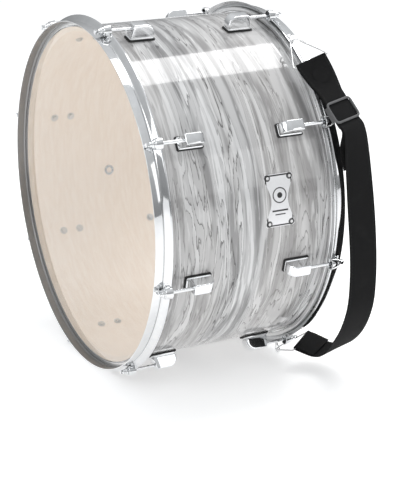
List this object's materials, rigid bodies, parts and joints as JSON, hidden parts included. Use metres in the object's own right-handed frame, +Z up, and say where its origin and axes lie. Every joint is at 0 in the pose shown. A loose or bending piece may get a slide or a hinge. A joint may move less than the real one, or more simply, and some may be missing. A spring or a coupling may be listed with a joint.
{
  "type": "bass drum",
  "caption": "Two-headed bass drum lying on its side, with tension rods, pressed metal hoops, clear heads and a shoulder strap on the rear hoop.",
  "frame": {"origin": "on the floor under the middle of the drum, midway between the heads", "axes": "+Y along the drum's axis from the front head to the rear head, +Z up, +X to the side that carries the badge and strap"},
  "size_m": [0.6069, 0.3802, 0.592],
  "materials": {
    "wrap": "high gloss, white and grey streaks",
    "wood": "pale ply, clear lacquer",
    "film": "clear film",
    "flesh_hoop": "rolled",
    "hoop": "bright",
    "lug": "bright",
    "rod": "bright",
    "zinc": "zinc plated",
    "gasket": "matt",
    "vent": "bright",
    "badge": "satin with dark border",
    "badge_pins": "bright",
    "wire": "bright wire",
    "webbing": "woven",
    "buckle": "moulded"
  },
  "bodies": {
    "drum": {"shell": "wood", "shell_wrap": "wrap", "vent_grommet": "vent", "badge_plate": "badge", "badge_pins": "badge_pins", "front_head_film": "film", "front_flesh_hoop": "flesh_hoop", "front_hoop": "hoop", "front_rod_washers": "rod", "front_lug_casings": "lug", "front_lug_gaskets": "gasket", "front_lug_nuts": "zinc", "front_lug_screws": "zinc", "front_lug_screw_washers": "zinc", "rear_head_film": "film", "rear_flesh_hoop": "flesh_hoop", "rear_hoop": "hoop", "rear_rod_washers": "rod", "rear_lug_casings": "lug", "rear_lug_gaskets": "gasket", "rear_lug_nuts": "zinc", "rear_lug_screws": "zinc", "rear_lug_screw_washers": "zinc", "strap_eye_top": "hoop", "strap_eye_bottom": "hoop"},
    "strap": {"strap_ring_top": "wire", "strap_ring_bottom": "wire", "strap_loop": "webbing", "strap_webbing": "webbing", "strap_tail": "webbing"},
    "buckle": {"strap_buckle": "buckle"},
    "front_rod_1": {"front_rod_1": "rod"},
    "front_rod_2": {"front_rod_2": "rod"},
    "front_rod_3": {"front_rod_3": "rod"},
    "front_rod_4": {"front_rod_4": "rod"},
    "front_rod_5": {"front_rod_5": "rod"},
    "front_rod_6": {"front_rod_6": "rod"},
    "front_rod_7": {"front_rod_7": "rod"},
    "front_rod_8": {"front_rod_8": "rod"},
    "rear_rod_1": {"rear_rod_1": "rod"},
    "rear_rod_2": {"rear_rod_2": "rod"},
    "rear_rod_3": {"rear_rod_3": "rod"},
    "rear_rod_4": {"rear_rod_4": "rod"},
    "rear_rod_5": {"rear_rod_5": "rod"},
    "rear_rod_6": {"rear_rod_6": "rod"},
    "rear_rod_7": {"rear_rod_7": "rod"},
    "rear_rod_8": {"rear_rod_8": "rod"}
  },
  "joints": [
    {"name": "front_rod_1_turn", "type": "hinge", "parent": "drum", "child": "front_rod_1", "pos_m": [0.07661, -0.12, 0.58191], "axis": [0, 1, 0], "continuous": true},
    {"name": "front_rod_2_turn", "type": "hinge", "parent": "drum", "child": "front_rod_2", "pos_m": [0.25634, -0.12, 0.444], "axis": [0, 1, 0], "continuous": true},
    {"name": "front_rod_3_turn", "type": "hinge", "parent": "drum", "child": "front_rod_3", "pos_m": [0.28591, -0.12, 0.21939], "axis": [0, 1, 0], "continuous": true},
    {"name": "front_rod_4_turn", "type": "hinge", "parent": "drum", "child": "front_rod_4", "pos_m": [0.148, -0.12, 0.03966], "axis": [0, 1, 0], "continuous": true},
    {"name": "front_rod_5_turn", "type": "hinge", "parent": "drum", "child": "front_rod_5", "pos_m": [-0.07661, -0.12, 0.01009], "axis": [0, 1, 0], "continuous": true},
    {"name": "front_rod_6_turn", "type": "hinge", "parent": "drum", "child": "front_rod_6", "pos_m": [-0.25634, -0.12, 0.148], "axis": [0, 1, 0], "continuous": true},
    {"name": "front_rod_7_turn", "type": "hinge", "parent": "drum", "child": "front_rod_7", "pos_m": [-0.28591, -0.12, 0.37261], "axis": [0, 1, 0], "continuous": true},
    {"name": "front_rod_8_turn", "type": "hinge", "parent": "drum", "child": "front_rod_8", "pos_m": [-0.148, -0.12, 0.55234], "axis": [0, 1, 0], "continuous": true},
    {"name": "rear_rod_1_turn", "type": "hinge", "parent": "drum", "child": "rear_rod_1", "pos_m": [0.07661, 0.12, 0.58191], "axis": [0, 1, 0], "continuous": true},
    {"name": "rear_rod_2_turn", "type": "hinge", "parent": "drum", "child": "rear_rod_2", "pos_m": [0.25634, 0.12, 0.444], "axis": [0, 1, 0], "continuous": true},
    {"name": "rear_rod_3_turn", "type": "hinge", "parent": "drum", "child": "rear_rod_3", "pos_m": [0.28591, 0.12, 0.21939], "axis": [0, 1, 0], "continuous": true},
    {"name": "rear_rod_4_turn", "type": "hinge", "parent": "drum", "child": "rear_rod_4", "pos_m": [0.148, 0.12, 0.03966], "axis": [0, 1, 0], "continuous": true},
    {"name": "rear_rod_5_turn", "type": "hinge", "parent": "drum", "child": "rear_rod_5", "pos_m": [-0.07661, 0.12, 0.01009], "axis": [0, 1, 0], "continuous": true},
    {"name": "rear_rod_6_turn", "type": "hinge", "parent": "drum", "child": "rear_rod_6", "pos_m": [-0.25634, 0.12, 0.148], "axis": [0, 1, 0], "continuous": true},
    {"name": "rear_rod_7_turn", "type": "hinge", "parent": "drum", "child": "rear_rod_7", "pos_m": [-0.28591, 0.12, 0.37261], "axis": [0, 1, 0], "continuous": true},
    {"name": "rear_rod_8_turn", "type": "hinge", "parent": "drum", "child": "rear_rod_8", "pos_m": [-0.148, 0.12, 0.55234], "axis": [0, 1, 0], "continuous": true},
    {"name": "strap_swing", "type": "hinge", "parent": "drum", "child": "strap", "pos_m": [0.12548, 0.14175, 0.01417], "axis": [0.0521, 0, 0.9986], "range_deg": [0, 6]},
    {"name": "buckle_slide", "type": "slide", "parent": "strap", "child": "buckle", "axis": [0.5846, 0.2685, -0.7656], "range_m": [-0.012, 0.005]}
  ]
}
